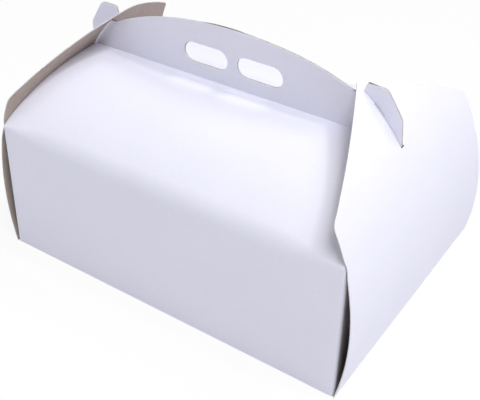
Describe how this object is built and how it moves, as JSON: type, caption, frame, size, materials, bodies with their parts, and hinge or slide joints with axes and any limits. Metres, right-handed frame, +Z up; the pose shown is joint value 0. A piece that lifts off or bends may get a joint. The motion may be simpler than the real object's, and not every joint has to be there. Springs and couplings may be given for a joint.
{
  "type": "cake box with handle",
  "caption": "Folded card cake box with bowed roof panels, a raised handle with finger holes, and side flaps held by hooks on the handle.",
  "frame": {"origin": "centre of the underside of the base", "axes": "+X along the long side of the base, towards the side flap with its hook on the right; +Y from the front wall to the back wall; +Z up, from the base to the handle"},
  "size_m": [0.2924, 0.196, 0.1735],
  "materials": {
    "carton_card": "satin",
    "right_flap_card": "satin",
    "left_flap_card": "satin"
  },
  "bodies": {
    "carton": {"carton": "carton_card"},
    "right_flap": {"right_side_flap": "right_flap_card"},
    "left_flap": {"left_side_flap": "left_flap_card"}
  },
  "joints": [
    {"name": "right_flap_fold", "type": "hinge", "parent": "carton", "child": "right_flap", "pos_m": [0.13965, 0, 0.00035], "axis": [0, 1, 0], "range_deg": [0, 74]},
    {"name": "left_flap_fold", "type": "hinge", "parent": "carton", "child": "left_flap", "pos_m": [-0.13965, 0, 0.00035], "axis": [0, -1, 0], "range_deg": [0, 74]}
  ]
}
